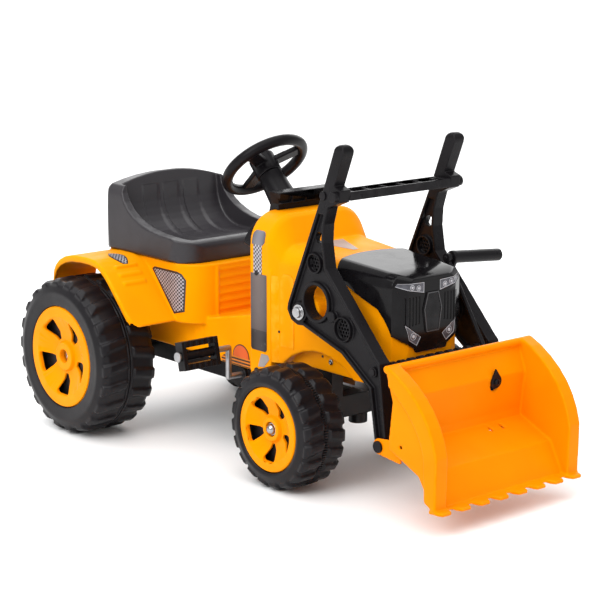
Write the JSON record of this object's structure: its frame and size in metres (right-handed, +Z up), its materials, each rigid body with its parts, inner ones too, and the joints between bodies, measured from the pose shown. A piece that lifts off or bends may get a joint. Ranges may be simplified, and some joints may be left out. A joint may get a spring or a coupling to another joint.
{
  "type": "ride on digger",
  "caption": "Pedal ride-on digger with a moulded body and seat, steered front wheels, chain-driven rear axle and a lifting front loader with a tipping bucket.",
  "frame": {"origin": "centre of the bounding box, on the ground", "axes": "+X forwards to the bucket, +Y to the rider's left, +Z up"},
  "size_m": [1.141, 0.606, 0.648],
  "materials": {
    "yellow_shell": "moulded, semi-gloss",
    "yellow_cover": "moulded, semi-gloss",
    "black_gloss": "polished",
    "black_seat": "satin",
    "black_plastic": "satin",
    "tyre_black": "moulded, matte",
    "steel": "zinc plated",
    "lens": "clear"
  },
  "bodies": {
    "chassis": {"body_tub": "yellow_shell", "bonnet": "yellow_shell", "seat": "black_seat", "dashboard": "black_plastic", "nose_mask": "black_gloss", "lamp_lenses": "lens", "under_frame": "black_plastic", "rear_bearings": "black_plastic", "chain_guard": "black_plastic", "drive_chain": "steel", "front_axle": "black_plastic", "kingpins": "steel", "column_bracket": "black_plastic", "arm_pivots": "steel", "body_screws": "steel"},
    "rear_axle": {"rear_axle": "steel", "axle_sprocket": "steel", "axle_screws": "steel", "rear_tyre_right": "tyre_black", "rear_rim_right": "black_plastic", "rear_cover_right": "yellow_cover"},
    "rear_wheel_left": {"rear_tyre_left": "tyre_black", "rear_rim_left": "black_plastic", "rear_cover_left": "yellow_cover"},
    "crank": {"crank_rod": "steel", "crank_sprocket": "steel"},
    "pedal_right": {"pedal_right": "black_plastic"},
    "pedal_left": {"pedal_left": "black_plastic"},
    "steering": {"steering_wheel": "black_plastic", "steering_hub": "black_plastic", "steering_column": "steel"},
    "knuckle_right": {"knuckle_right": "black_plastic", "stub_right": "steel"},
    "knuckle_left": {"knuckle_left": "black_plastic", "stub_left": "steel"},
    "tie_rod": {"tie_rod": "steel"},
    "front_wheel_right": {"front_tyre_right": "tyre_black", "front_rim_right": "black_plastic", "front_cover_right": "yellow_cover"},
    "front_wheel_left": {"front_tyre_left": "tyre_black", "front_rim_left": "black_plastic", "front_cover_left": "yellow_cover"},
    "loader_arms": {"loader_arm_right": "black_plastic", "loader_arm_left": "black_plastic", "arm_crossbar": "black_plastic", "arm_tie_bar": "black_plastic", "arm_screws": "black_plastic", "lever_pin": "steel"},
    "bucket": {"bucket": "yellow_shell", "hinge_pins": "steel"},
    "tilt_lever": {"tilt_lever": "black_plastic"},
    "tilt_rod": {"tilt_rod": "steel"}
  },
  "joints": [
    {"name": "rear_axle_spin", "type": "hinge", "parent": "chassis", "child": "rear_axle", "pos_m": [-0.4105, 0, 0.16], "axis": [0, 1, 0], "continuous": true},
    {"name": "rear_wheel_left_spin", "type": "hinge", "parent": "chassis", "child": "rear_wheel_left", "pos_m": [-0.4105, 0, 0.16], "axis": [0, 1, 0], "continuous": true},
    {"name": "crank_spin", "type": "hinge", "parent": "chassis", "child": "crank", "pos_m": [-0.0685, 0, 0.158], "axis": [0, 1, 0], "continuous": true},
    {"name": "pedal_right_spin", "type": "hinge", "parent": "crank", "child": "pedal_right", "pos_m": [-0.0685, -0.21, 0.216], "axis": [0, 1, 0], "continuous": true},
    {"name": "pedal_left_spin", "type": "hinge", "parent": "crank", "child": "pedal_left", "pos_m": [-0.0685, 0.21, 0.1], "axis": [0, 1, 0], "continuous": true},
    {"name": "steering_turn", "type": "hinge", "parent": "chassis", "child": "steering", "pos_m": [-0.1205, 0, 0.556], "axis": [-0.682, 0, 0.7314], "range_deg": [-36, 36]},
    {"name": "knuckle_right_turn", "type": "hinge", "parent": "chassis", "child": "knuckle_right", "pos_m": [0.1575, -0.1, 0.122], "axis": [0, 0, 1], "range_deg": [-18, 18]},
    {"name": "knuckle_left_turn", "type": "hinge", "parent": "chassis", "child": "knuckle_left", "pos_m": [0.1575, 0.1, 0.122], "axis": [0, 0, 1], "range_deg": [-18, 18]},
    {"name": "tie_rod_swing", "type": "hinge", "parent": "knuckle_right", "child": "tie_rod", "pos_m": [0.1105, -0.1, 0.144], "axis": [0, 0, 1], "range_deg": [-18, 18]},
    {"name": "front_wheel_right_spin", "type": "hinge", "parent": "knuckle_right", "child": "front_wheel_right", "pos_m": [0.1575, -0.173, 0.1155], "axis": [0, 1, 0], "continuous": true},
    {"name": "front_wheel_left_spin", "type": "hinge", "parent": "knuckle_left", "child": "front_wheel_left", "pos_m": [0.1575, 0.173, 0.1155], "axis": [0, 1, 0], "continuous": true},
    {"name": "loader_lift", "type": "hinge", "parent": "chassis", "child": "loader_arms", "pos_m": [0.1615, 0, 0.328], "axis": [0, -1, 0], "range_deg": [0, 36]},
    {"name": "bucket_dump", "type": "hinge", "parent": "loader_arms", "child": "bucket", "pos_m": [0.3855, 0, 0.122], "axis": [0, 1, 0], "range_deg": [0, 45]},
    {"name": "tilt_lever_swing", "type": "hinge", "parent": "loader_arms", "child": "tilt_lever", "pos_m": [0.2485, 0.118, 0.333], "axis": [0, 1, 0], "range_deg": [0, 45]},
    {"name": "tilt_rod_swing", "type": "hinge", "parent": "tilt_lever", "child": "tilt_rod", "pos_m": [0.2885, 0.104, 0.417], "axis": [0, 1, 0], "range_deg": [-45, 0]}
  ],
  "couplings": [
    {"joint": "crank_spin", "follows": "rear_axle_spin", "ratio": 0.66667},
    {"joint": "steering_turn", "follows": "knuckle_right_turn", "ratio": 2},
    {"joint": "knuckle_left_turn", "follows": "knuckle_right_turn", "ratio": 1},
    {"joint": "tie_rod_swing", "follows": "knuckle_right_turn", "ratio": -1},
    {"joint": "tilt_lever_swing", "follows": "bucket_dump", "ratio": 1},
    {"joint": "tilt_rod_swing", "follows": "bucket_dump", "ratio": -1}
  ]
}
